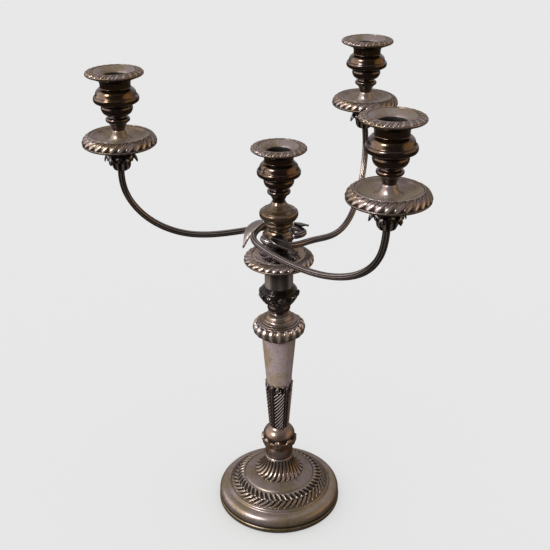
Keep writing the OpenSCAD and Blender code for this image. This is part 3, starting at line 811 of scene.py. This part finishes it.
def plate(name, cool, warm, copper, copper_share, satin=0.2, under=0.75, tarnish_and_shade=0.9, rough=0.3,
          patch_scale=45.0, wear_and_highlight_amount=0.45, streaks=0.35, pits=0.0, gloss=0.0):
    """Tarnished silver plate: cool and warm greys in soft patches, copper where the plate is thin,
    dark with tarnish and painted shade in its recesses, painted shade on its undersides, and wear with
    painted highlights on its ridges."""
    cool, warm, copper = linear(cool), linear(warm), linear(copper)
    g = Graph(bpy.data.materials.new(name))
    coords = g.node("ShaderNodeTexCoord").outputs["Object"]
    normal = g.node("ShaderNodeNewGeometry").outputs["Normal"]
    up = g.node("ShaderNodeSeparateXYZ", Vector=normal).outputs["Z"]
    recess = g.attribute("recess")
    wear_and_highlight = g.attribute("wear_and_highlight")

    broad = g.noise(coords, patch_scale, 4.0, 0.55)
    fine = g.noise(coords, patch_scale * 9, 4.0, 0.6)
    spots = g.noise(coords, patch_scale * 3.1, 5.0, 0.65)
    streak = g.noise(coords, patch_scale * 1.5, 3.0, 0.6, stretch=(1.0, 1.0, 0.12))

    colour = g.mix(g.ramp(broad, 0.40, 0.60), cool, warm)
    copper_patch = g.plus(g.times(spots, 0.6), g.times(streak, 0.4))
    copper_mask = g.ramp(copper_patch, 0.62 - copper_share * 0.3, 0.76 - copper_share * 0.3)
    colour = g.mix(g.times(copper_mask, 0.85), colour, copper)
    colour = g.mix(g.ramp(fine, 0.45, 0.75, 0.0, streaks), colour, RECESS_COLOUR)
    colour = g.mix(g.ramp(spots, 0.60, 0.72, 0.0, streaks), colour, SPOT_AND_UNDERSIDE_SHADE_COLOUR)

    # darker in crevices, where the AO node finds walls close by, and where the recess attribute asks: tarnish
    # and painted shade
    crevice = g.node("ShaderNodeAmbientOcclusion", Distance=CREVICE_REACH)
    crevice.samples = CREVICE_SAMPLES
    shade = g.ramp(crevice.outputs["AO"], 0.25, 0.85, tarnish_and_shade, 0.0)
    dark = g.maths("MAXIMUM", shade, g.times(recess, tarnish_and_shade))
    # painted shade: darker where the surface faces down, by the under amount
    tilt = g.plus(up, g.times(g.minus(broad, 0.5), 0.6))
    colour = g.mix(g.ramp(tilt, -0.75, 0.0, under, 0.0), colour, SPOT_AND_UNDERSIDE_SHADE_COLOUR)
    # lighter on ridges: wear with painted highlights
    colour = g.mix(g.times(wear_and_highlight, wear_and_highlight_amount), colour, BRIGHT_COLOUR)
    colour = g.mix(dark, colour, RECESS_COLOUR)
    # painted shade: black in the candle bores, where recess is above 1.2
    colour = g.mix(g.ramp(recess, 1.2, 1.8), colour, BORE_SHADE_COLOUR)

    roughness = g.plus(rough - 0.1, g.times(spots, 0.2))
    roughness = g.plus(roughness, g.times(dark, 0.25), clamp=True)
    scratches = g.noise(coords, 900.0, 2.0, 0.5, stretch=(1.0, 1.0, 0.08))
    relief = g.plus(g.times(scratches, 0.5), g.times(fine, 0.5))
    relief = g.minus(relief, g.ramp(spots, 0.60, 0.70, 0.0, pits))
    bump = g.node("ShaderNodeBump", Height=relief, Strength=0.2, Distance=BUMP_DEPTH)
    metallic = g.minus(1.0 - satin, g.times(dark, 0.3 * (1.0 - satin)))
    shader = g.node("ShaderNodeBsdfPrincipled", Base_Color=colour, Metallic=metallic, Roughness=roughness,
                    Normal=bump.outputs[0])
    shader.inputs["Coat Weight"].default_value = gloss
    shader.inputs["Coat Roughness"].default_value = COAT_ROUGHNESS
    return g.finish("Material", shader)


def plain_stuff(name, light, dark, scale, rough, metallic=0.0, stretch=None, sheen=0.0):
    """Baize, wood, pitch or iron: two tones in noise, with bump at the same scale."""
    light, dark = linear(light), linear(dark)
    g = Graph(bpy.data.materials.new(name))
    coords = g.node("ShaderNodeTexCoord").outputs["Object"]
    broad = g.noise(coords, scale, 5.0, 0.6, stretch)
    fine = g.noise(coords, scale * 7, 4.0, 0.7, stretch)
    colour = g.mix(g.ramp(broad, 0.35, 0.65), dark, light)
    colour = g.mix(g.ramp(fine, 0.45, 0.7, 0.0, 0.5), colour, dark)
    roughness = g.plus(rough - 0.1, g.times(fine, 0.2), clamp=True)
    bump = g.node("ShaderNodeBump", Height=fine, Strength=0.5, Distance=BUMP_DEPTH)
    shader = g.node("ShaderNodeBsdfPrincipled", Base_Color=colour, Metallic=metallic, Roughness=roughness,
                    Normal=bump.outputs[0])
    shader.inputs["Sheen Weight"].default_value = sheen
    return g.finish("Material", shader)


BRONZE, COPPER = "6b5128", "74401f"

silver = plate("silver_plate", "948480", "83705c", BRONZE, 0.26, rough=0.25, wear_and_highlight_amount=0.7)
# a lighter copy of silver_plate, painted light for the shoulder and the stick pan's border, which the arms
# shade
lit_silver = plate("lit_silver_plate", "a99895", "947f6c", BRONZE, 0.22, rough=0.25, wear_and_highlight_amount=0.85)
silver_smooth = plate("silver_plate_smooth", "948581", "887863", BRONZE, 0.14, satin=0.36, rough=0.31,
                      patch_scale=38, streaks=0.3, pits=0.5)
silver_pale = plate("pale_silver", "e4cdce", "cbb596", "8d7660", 0.28, satin=0.5, rough=0.34,
                    patch_scale=42, streaks=0.3, pits=0.4)
rim_plate = plate("rim_plate", "7b6d5d", "6f6244", "5a4a1e", 0.45, satin=0.3, rough=0.36, patch_scale=60,
                  streaks=0.6, pits=0.8)
laurel_plate = plate("laurel_plate", "6f5c53", "65523b", BRONZE, 0.28, rough=0.27, tarnish_and_shade=0.98, wear_and_highlight_amount=0.32)
sleeve_plate = plate("sleeve_plate", "86757a", "75625a", "4a2a1c", 0.15, satin=0.3, under=0.5, rough=0.28,
                     tarnish_and_shade=0.99, wear_and_highlight_amount=1.0)
silver_dark = plate("dark_silver", "5a4e50", "50433a", "4a2a1c", 0.2, satin=0.12, under=0.9, rough=0.22,
                    wear_and_highlight_amount=0.7, gloss=0.4)
silver_black = plate("blackened_silver", "342c2b", "2d2521", "3c2013", 0.1, satin=0.06, under=0.97,
                     tarnish_and_shade=0.99, rough=0.2, wear_and_highlight_amount=0.75, gloss=0.6)
worn_plate = plate("worn_plate", "4e3e38", "5a4224", "52210f", 0.42, satin=0.05, under=0.98, rough=0.18,
                   gloss=0.9, wear_and_highlight_amount=0.6, streaks=0.8)
vase_plate = plate("vase_plate", "75645c", "6f5a44", BRONZE, 0.4, satin=0.2, under=0.9, rough=0.22,
                   gloss=0.6)
knop_plate = plate("knop_plate", "8a7871", "755d40", COPPER, 0.34, satin=0.22, rough=0.29, gloss=0.25,
                   wear_and_highlight_amount=0.7)
# a darker copy of leaf_plate: painted shade, for the rear arm's leaf
shaded_leaf_plate = plate("shaded_leaf_plate", "3c3434", "352b26", "3c2013", 0.2, satin=0.1, rough=0.26,
                        under=0.9, gloss=0.3)
leaf_plate = plate("leaf_plate", "88807f", "7c726b", BRONZE, 0.08, satin=0.35, rough=0.34, streaks=0.25)
baize = plain_stuff("baize", "3f6b4a", "21402b", 260, 0.95, sheen=0.6)
wood = plain_stuff("wood", "a8855c", "6f5236", 90, 0.7, stretch=(1, 9, 9))
pitch = plain_stuff("pitch", "37302b", "1c1815", 120, 0.55)
iron = plain_stuff("iron", "66615d", "3c3835", 220, 0.5, metallic=0.9)


# ---------------------------------------------------------------- reliefs

def outer_to_top(rows):
    """How far along each row is from the outline's widest point to its highest."""
    outer, top = int(np.argmax(rows.r)), int(np.argmax(rows.z))
    return rows.share((rows.r[outer], rows.z[outer]), (rows.r[top], rows.z[top]))


def unmarked(rows, theta):
    """A zero for each point of the surface."""
    return np.zeros((len(rows.r), theta.size))


PAN_LOBES, NOZZLE_LEAVES, LAUREL_PAIRS, CONE_RIBS, SHOULDER_LOBES = 28, 24, 48, 26, 20


def border_relief(turn):
    """Leaning comma-shaped lobes round a pan border, with fine leaves in the gaps."""
    def relief(rows, theta):
        v = outer_to_top(rows)
        inside = band(v, 0.0, 0.07, 0.93, 1.0)
        phase = PAN_LOBES * (theta / TAU) - 1.15 * (np.clip(v, 0, 1) ** 1.25 - 0.3) + turn
        x = from_nearest(phase)
        bulb = np.sqrt(np.clip(1 - ((v - 0.36) / 0.30) ** 2, 0, 1))
        tail = np.clip(1 - (np.clip(v - 0.36, 0, 1) / 0.60) ** 1.5, 0, 1)
        width = 0.44 * np.where(v < 0.36, bulb, tail)
        lobe = ridge(x, width, 0.12)
        y = from_nearest(phase + 0.5)
        gap_width = 0.30 * np.clip((v - 0.25) / 0.62, 0, 1) ** 0.8
        leaf = ridge(y, gap_width, 0.08)
        vein = bell(y, 0.035) * leaf * 0.45
        hook = bell(np.abs(x) - width - 0.05, 0.03) * smoothstep(v, 0.45, 0.15)
        rise = np.maximum(lobe * (1 - 0.35 * v), (leaf * 0.7 - vein) * 0.8)
        rise = np.maximum(rise, hook * 0.3)
        height = inside * (1.1 * rise - 0.6)
        height = np.where(v > 0.9, height * 0.58, height)
        inner_rim = bell(v - 0.985, 0.03)
        rim = inner_rim * 0.22 + bell(v - 0.02, 0.03) * 0.12
        recess = inside * (1 - smoothstep(rise, 0.08, 0.62))
        wear_and_highlight = inside * smoothstep(rise, 0.75, 1.0)
        return height + rim, recess, wear_and_highlight + 0.6 * inner_rim
    return relief


def nozzle_relief(turn):
    """Small scrolled leaves with beaded tips round a nozzle's rim."""
    def relief(rows, theta):
        v = outer_to_top(rows)
        inside = band(v, 0.08, 0.16, 0.86, 0.94)
        phase = NOZZLE_LEAVES * (theta / TAU) - 0.45 * (v - 0.4) + turn
        x = from_nearest(phase)
        fingers = 0.27 + 0.07 * np.cos(TAU * 2.6 * v)
        leaf = crest(x, fingers * np.sin(np.pi * np.clip(v * 0.96 + 0.04, 0, 1)) ** 0.6)
        groove = bell(x, 0.04) * smoothstep(v, 0.2, 0.45) * 0.5
        y = from_nearest(phase + 0.5)
        dot = np.sqrt(np.clip(1 - (y / 0.15) ** 2 - ((v - 0.33) / 0.15) ** 2, 0, 1))
        seed = np.sqrt(np.clip(1 - (y / 0.12) ** 2 - ((v - 0.68) / 0.13) ** 2, 0, 1))
        rise = np.maximum(np.maximum(leaf - groove, dot * 0.9), seed * 0.8)
        height = inside * (-0.4 + 0.65 * rise)
        rim = bell(v - 0.98, 0.03) * 0.15
        recess = inside * (1 - smoothstep(rise, 0.1, 0.6))
        return height + rim, 0.6 * recess, inside * smoothstep(rise, 0.75, 1.0) * 0.6
    return relief


def fine_step(z_low, z_high, step, r_low=0.0):
    """Close rows between two heights outside a radius, and plain spacing elsewhere."""
    return lambda r, z: step if z_low <= z <= z_high and r >= r_low else PLAIN_STEP


def dark_bore(rows, theta):
    """A nozzle's candle bore, black below its funnel: painted shade."""
    bore = np.abs(rows.r - CANDLE_BORE_R) < 0.7
    floor_row = (rows.r < CANDLE_BORE_R) & (rows.out_z > 0.5)
    dark = 2.0 * (bore | floor_row)[:, None] * (rows.out_r < 0.6)[:, None]
    flat = unmarked(rows, theta)
    return flat, flat + dark, flat


def painted_reflection_tube(rows, theta):
    """Painted reflection on the plain socket: dark down its front and back, light at its sides."""
    dark_reflection = smoothstep(np.cos(2 * theta + math.pi) + 0.45 * np.cos(7 * theta + 1), -0.3, 1.1)
    flat = unmarked(rows, theta)
    return flat, flat + 0.9 * dark_reflection, flat + 0.9 * smoothstep(dark_reflection, 0.4, 0.0)


def vase_lines(rows, theta):
    """Turned lines on the vase's shoulder, and a painted highlight ring round its neck."""
    z = rows.z[:, None] + 0 * theta
    outside = (rows.out_r > 0)[:, None]
    lines = sum(bell(z - VASE_LOW - up, 0.3) for up in (15.1, 20.7, 23.1)) * outside
    return -0.2 * lines, 0.7 * lines, bell(z - VASE_TOP + 1.5, 0.6) * outside


def shoulder_relief(rows, theta):
    """Wide upright lobes with a pair of fine fillets between them."""
    v = rows.share((18.6, SHOULDER_LOW + 3.2), (21.8, SHOULDER_TOP - 0.2))
    inside = band(v, 0.0, 0.05, 0.95, 1.0)
    x = from_nearest(SHOULDER_LOBES * theta / TAU)
    width = 0.38 * np.clip(1 - np.abs(2 * v - 1) ** 4.0, 0, 1) ** 0.5
    lobe = ridge(x, width, 0.1)
    y = np.abs(from_nearest(SHOULDER_LOBES * theta / TAU + 0.5))
    fillet = bell(y - 0.07, 0.035) * band(v, 0.05, 0.15, 0.85, 0.95)
    rise = np.maximum(lobe, fillet * 0.8)
    height = inside * (-0.75 + 1.15 * rise)
    return height, inside * (1 - smoothstep(rise, 0.06, 0.42)), inside * smoothstep(rise, 0.8, 1.0)


# the foot's shelf darkens as painted shade from the first radius inwards, fully by the second
SHELF_UNSHADED_R, SHELF_DARK_R = 46.0, 42.0


def shelf_shade(rows, theta):
    """The foot's flat shelf, darker than its torus: painted shade."""
    flat = unmarked(rows, theta)
    return flat, flat + 0.3 * smoothstep(rows.r[:, None], SHELF_UNSHADED_R, SHELF_DARK_R), flat


def laurel_relief(rows, theta):
    """Two rows of slanted leaves that meet in chevrons along the middle of the band."""
    v = outer_to_top(rows)
    inside = band(v, 0.02, 0.07, 0.93, 0.98)
    t = np.clip(np.abs(v - 0.5) / 0.43, 0, 1)
    inner_row = v > 0.5
    slant = np.where(inner_row, 0.75 * t, 1.15 * t ** 1.25)
    x = from_nearest(LAUREL_PAIRS * theta / TAU + slant)
    spine = np.sqrt(np.clip(1 - ((v - 0.5) / 0.05) ** 2, 0, 1))
    bud = crest(x, 0.43 * np.clip(np.sin(np.pi * np.clip(t * 0.98, 0, 1) ** 0.75), 0, 1) ** 0.55)
    vein = bell(x, 0.06) * band(t, 0.05, 0.2, 0.7, 0.95)
    outer_leaf = bud - 0.32 * vein
    hollow = 1 - bud
    rise = np.where(inner_row, 0.15 + 0.85 * hollow, outer_leaf)
    rise = np.maximum(rise, spine * 0.35)
    height = inside * (-0.95 + 1.5 * rise)
    rims = bell(v - 0.015, 0.02) + bell(v - 0.985, 0.02)
    recess = inside * (1 - smoothstep(rise, 0.12, 0.7))
    return height + 0.25 * rims, recess, inside * smoothstep(rise, 0.75, 1.0) + rims * 0.8


def flute_relief(rows, theta):
    """S-curved ribs down the cone, each ending in a rounded tip on the shelf."""
    v = rows.share((26.6, CONE_LOW + 0.15), (14.8, CONE_TOP - 0.4))
    inside = band(v, -0.01, 0.0, 0.97, 1.01)
    sweep = 0.95 * np.clip(1 - v, 0, 1.2) ** 1.6 - 0.22 * np.sin(np.pi * np.clip(v, 0, 1))
    x = from_nearest(CONE_RIBS * theta / TAU + sweep)
    tip = np.sqrt(np.clip(1 - (np.clip(0.16 - v, 0, 1) / 0.16) ** 2, 0, 1))
    rib = ridge(x, 0.42 * tip, 0.15)
    body = inside * (v > -0.01)
    strength = 1.25 - 0.55 * np.clip(v, 0, 1)
    height = body * (rib - 0.35 * smoothstep(v, 0.0, 0.2)) * strength
    recess = body * (1 - smoothstep(rib, 0.1, 0.65)) * smoothstep(v, 0.0, 0.08)
    wear_and_highlight = body * smoothstep(rib, 0.75, 1.0) * (0.5 + 0.5 * smoothstep(v, 0.45, 0.05))
    return height, recess, wear_and_highlight


LEAF_RISE = 2.3


def leaf_relief(count, start, end, lobes, curl, sink, turn=0.0):
    """Overlapping lobed leaves that climb from start to end, tips curling off the surface."""
    def relief(rows, theta):
        v = rows.share(start, end)
        inside = band(v, -0.02, 0.02, 1.0, 1.12)
        phase = count * theta / TAU + turn
        total, vein_total = unmarked(rows, theta), 0
        for offset, reach in ((0.5, 0.78), (0.0, 1.0)):
            x = from_nearest(phase + offset)
            t = np.clip(v / reach, 0, 1)
            notch = 1 + 0.17 * np.abs(np.cos(np.pi * lobes * t)) - 0.1
            width = np.maximum(0.50 * notch * np.clip(1 - t ** 3.2, 0, 1) ** 0.6, 0.01)
            shape = smoothstep(np.abs(x), width, width * 0.72) * (v < reach) * (v > -0.02)
            midrib = bell(x, 0.045)
            side = np.abs(np.sin(np.pi * lobes * (t - 0.55 * np.abs(x))))
            body = 0.62 + curl * t ** 2.5 - 0.30 * (np.abs(x) / 0.5) + 0.22 * side - 0.2 * midrib
            body = body * (1 - 0.55 * smoothstep(t, 0.82, 1.0))
            leaf = shape * body * (1.0 if offset == 0.0 else 0.62)
            total = np.maximum(total, leaf)
            vein_total = np.maximum(vein_total, shape * (midrib * 0.5 + (1 - side) * 0.35))
        height = inside * (LEAF_RISE * total - sink)
        recess = inside * np.clip((1 - smoothstep(total, 0.05, 0.4)) + 0.5 * vein_total, 0, 1)
        return height, recess, inside * smoothstep(total, 0.7, 1.1)
    return relief


def collar_lines(rows, theta):
    """Two fine polished beads with a dark line between them."""
    low, high = rows.z.min(), rows.z.max()
    share = ((rows.z - low) / (high - low))[:, None] + 0 * theta
    outside = (rows.out_r > 0.2)[:, None]
    line = np.maximum(crest(share - 0.27, 0.17), crest(share - 0.73, 0.17)) * outside
    recess = outside * (1 - smoothstep(line, 0.1, 0.7))
    return 0.45 * line - 0.25 * outside, recess, smoothstep(line, 0.6, 1.0)


# ---------------------------------------------------------------- turned pieces of the candlestick

turned("foot_rim", STEM, rim_plate, columns=360, seed=1)
turned("foot_shell", STEM, silver_smooth, shelf_shade, columns=360, seed=2, wobble=0.09)
turned("laurel_band", STEM, laurel_plate, laurel_relief, columns=LAUREL_PAIRS * 20,
       step=0.28, seed=3, wobble=0.04)
turned("fluted_cone", STEM, laurel_plate, flute_relief, columns=CONE_RIBS * 24,
       step=0.4, seed=4, wobble=0.03)
turned("cone_collar", STEM, silver, collar_lines, step=0.12, seed=5, wobble=0.02)
turned("knop_cup", STEM, knop_plate, seed=6, wobble=0.04)
turned("leaf_knop", STEM, knop_plate,
       leaf_relief(8, (13.0, KNOP_LOW + 0.2), (18.2, KNOP_TOP - 11.0), 3, 0.3, 0.9, turn=0.1),
       columns=720, step_at=fine_step(KNOP_LOW - 1, KNOP_TOP - 8, 0.3, 12), seed=7)
turned("stem_column", STEM, silver_pale, columns=300, seed=8, wobble=0.05)
# the shoulder in the lighter copy of silver_plate: painted light
turned("shoulder", STEM, lit_silver, shoulder_relief, columns=SHOULDER_LOBES * 36,
       step_at=fine_step(SHOULDER_LOW + 2, SHOULDER_TOP + 0.6, 0.3, 17), seed=9)
turned("shoulder_dome", STEM, silver, seed=10, wobble=0.04)
turned("socket_knop", STEM, silver_dark, seed=11)
turned("leaf_bowl", STEM, silver_black,
       leaf_relief(9, (11.9, BOWL_LOW + 0.5), (19.6, BOWL_TOP - 5.3), 4, 0.35, 1.0),
       columns=900, step_at=fine_step(BOWL_LOW + 0.1, BOWL_TOP - 2.9, 0.28, 11), seed=12)
# the plain socket gets a painted reflection: dark down its front and back, light at its sides
turned("stick_socket", STEM, silver_smooth, painted_reflection_tube, seed=13)
turned("stick_nozzle", STEM, silver_pale, seed=14)
# the stick pan's border in the lighter copy of silver_plate: painted light where the arms shade it
turned("stick_nozzle_border", STEM, lit_silver, border_relief(0.3),
       columns=PAN_LOBES * 28, step=0.3, seed=15)

# ---------------------------------------------------------------- hub and sockets

turned("hub_core", STEM, silver_black, seed=16)
turned("hub_collar", STEM, knop_plate, seed=17, wobble=0.03)
turned("centre_vase", STEM, vase_plate, vase_lines, step=0.3, seed=18)
for number, light in enumerate(LIGHTS):
    axis = candle_axis(light)
    turned(f"{light}_socket", axis, worn_plate, seed=20 + number)
    turned(f"{light}_nozzle", axis, silver_smooth, dark_bore, seed=30 + number)
    turned(f"{light}_nozzle_border", axis, silver, nozzle_relief(0.2 * number),
           columns=NOZZLE_LEAVES * 26, step=0.25, seed=40 + number, wobble=0.03)
for number, light in enumerate(ARMS):
    axis = candle_axis(light)
    turned(f"{light}_pan", axis, silver_smooth, seed=50 + number, wobble=0.08)
    turned(f"{light}_pan_border", axis, silver, border_relief(0.37 * number),
           columns=PAN_LOBES * 28, step=0.3, seed=60 + number)

# ---------------------------------------------------------------- leaves, sleeve and arms in place

ARM_RADIUS = 3.1
stem_sleeve(sleeve_plate)
hub_leaves(silver_black)
for number, arm in enumerate(ARMS):
    arm_calyx(arm, silver_black, number)
    reeded_arm(arm, silver_dark, ARM_RADIUS)
    # the rear arm's leaf in the darker copy of the leaf plate: painted shade
    hook_leaf(arm, shaded_leaf_plate if arm == "rear" else leaf_plate)

# ---------------------------------------------------------------- CAD nodes kept as they are

for node, material in (("baize_pad", baize), ("base_plate", wood), ("loading", pitch), ("tie_rod", iron),
                       ("rod_nut", iron), ("rod_washer", iron), ("hub_rod", iron), ("arm_studs", iron),
                       ("branch_plug", silver_dark)):
    frame["nodes"][node].data.materials.clear()
    frame["nodes"][node].data.materials.append(material)

# ---------------------------------------------------------------- floor, light and camera

FLOOR_HALF = 12.0
FLOOR_GLOW = 1.12
WHITE = (1.0, 1.0, 1.0, 1)
DIM_FLOOR = (0.10, 0.085, 0.07, 1)
EVEN_LIGHT = 0.7
DIM_SKY = (0.06, 0.052, 0.05, 1)
# each softbox: where it is, from which cosine it fades in and is full, and its colour
SOFTBOXES = (((0, 0.85, 0.55), 0.2, 0.95, (0.5, 0.46, 0.46, 1)),
             ((0, 0, 1), 0.7, 0.98, (0.58, 0.56, 0.57, 1)),
             ((-1, -0.1, 0.25), 0.65, 0.93, (2.0, 1.86, 1.86, 1)),
             ((0.95, -0.1, 0.1), 0.7, 0.95, (0.9, 0.6, 0.3, 1)))
KEY_FROM = (-0.62, -0.52, 0.62)
KEY_ANGLE = math.radians(18)
KEY_STRENGTH = 2.6
CAMERA_PLACE = (0.000149, -0.82065, 0.68572)
CAMERA_PITCH, CAMERA_YAW, CAMERA_ROLL = 0.460, -0.005, -0.003     # pitch is downward
CAMERA_LENS = 59.3


def floor():
    """Pale even floor; the metal mirrors it as a dark one, as it would a dim room."""
    mesh = bpy.data.meshes.new("floor")
    h = FLOOR_HALF
    mesh.from_pydata([(-h, -h, 0), (h, -h, 0), (h, h, 0), (-h, h, 0)], [], [(0, 1, 2, 3)])
    g = Graph(bpy.data.materials.new("floor"))
    seen = g.shader_mix(0.5, g.node("ShaderNodeEmission", Color=linear("e8e9e8"), Strength=FLOOR_GLOW),
                        g.node("ShaderNodeBsdfDiffuse", Color=WHITE))
    mirrored = g.node("ShaderNodeBsdfDiffuse", Color=DIM_FLOOR)
    final = g.shader_mix(g.node("ShaderNodeLightPath").outputs["Is Camera Ray"], mirrored, seen)
    mesh.materials.append(g.finish("Material", final))
    obj = placed("floor", mesh)
    return obj


def towards(g, direction, vector, lo, hi):
    """1 where the sky vector is near a direction, easing to 0 away from it."""
    node = g.tree.nodes.new("ShaderNodeVectorMath")
    node.operation = "DOT_PRODUCT"
    g.set(node, 0, vector)
    node.inputs[1].default_value = tuple(unit(np.array(direction)))
    return g.ramp(node.outputs["Value"], lo, hi)


def sky():
    """Even pale light on everything, and softboxes with a dim side for the metal to mirror."""
    world = bpy.data.worlds.new("studio")
    bpy.context.scene.world = world
    g = Graph(world)
    vector = g.node("ShaderNodeTexCoord").outputs["Generated"]
    colour = DIM_SKY
    for direction, lo, hi, glow in SOFTBOXES:
        colour = g.mix(towards(g, direction, vector, lo, hi), colour, glow)
    mirror = g.node("ShaderNodeBackground", Color=colour, Strength=1.0)
    even = g.node("ShaderNodeBackground", Color=WHITE, Strength=EVEN_LIGHT)
    mixed = g.shader_mix(g.node("ShaderNodeLightPath").outputs["Is Glossy Ray"], even, mirror)
    g.finish("World", mixed)


def key_light(unlit):
    """A broad soft light from far off, which leaves the floor alone."""
    light = bpy.data.lights.new("key", "SUN")
    light.angle = KEY_ANGLE
    light.energy = KEY_STRENGTH
    obj = placed("key", light)
    obj.matrix_world = looking((0, 0, 1), -unit(np.array(KEY_FROM)), 0.0)
    spared = bpy.data.collections.new("spared_by_key")
    spared.objects.link(unlit)
    obj.light_linking.receiver_collection = spared
    spared.collection_objects[0].light_linking.link_state = "EXCLUDE"


def looking(place, forward, roll):
    """Pose of a camera or light at a place, looking along forward."""
    forward = np.array(forward, float)
    right = unit(np.cross(forward, [0, 0, 1]))
    up = np.cross(right, forward)
    turned_right = math.cos(roll) * right + math.sin(roll) * up
    turned_up = -math.sin(roll) * right + math.cos(roll) * up
    m = Matrix.Identity(4)
    for row in range(3):
        m[row][0], m[row][1], m[row][2] = turned_right[row], turned_up[row], -forward[row]
        m[row][3] = place[row]
    return m


def camera():
    """The photo's camera, as solved from its ellipses."""
    data = bpy.data.cameras.new("camera")
    data.sensor_width = 36.0
    data.lens = CAMERA_LENS
    data.clip_start = 0.01
    obj = placed("camera", data)
    level = math.cos(CAMERA_PITCH)
    forward = (math.sin(CAMERA_YAW) * level, math.cos(CAMERA_YAW) * level, -math.sin(CAMERA_PITCH))
    obj.matrix_world = looking(CAMERA_PLACE, forward, CAMERA_ROLL)
    bpy.context.scene.camera = obj


ground = floor()
sky()
key_light(ground)
camera()
bpy.context.scene.view_settings.view_transform = "Standard"
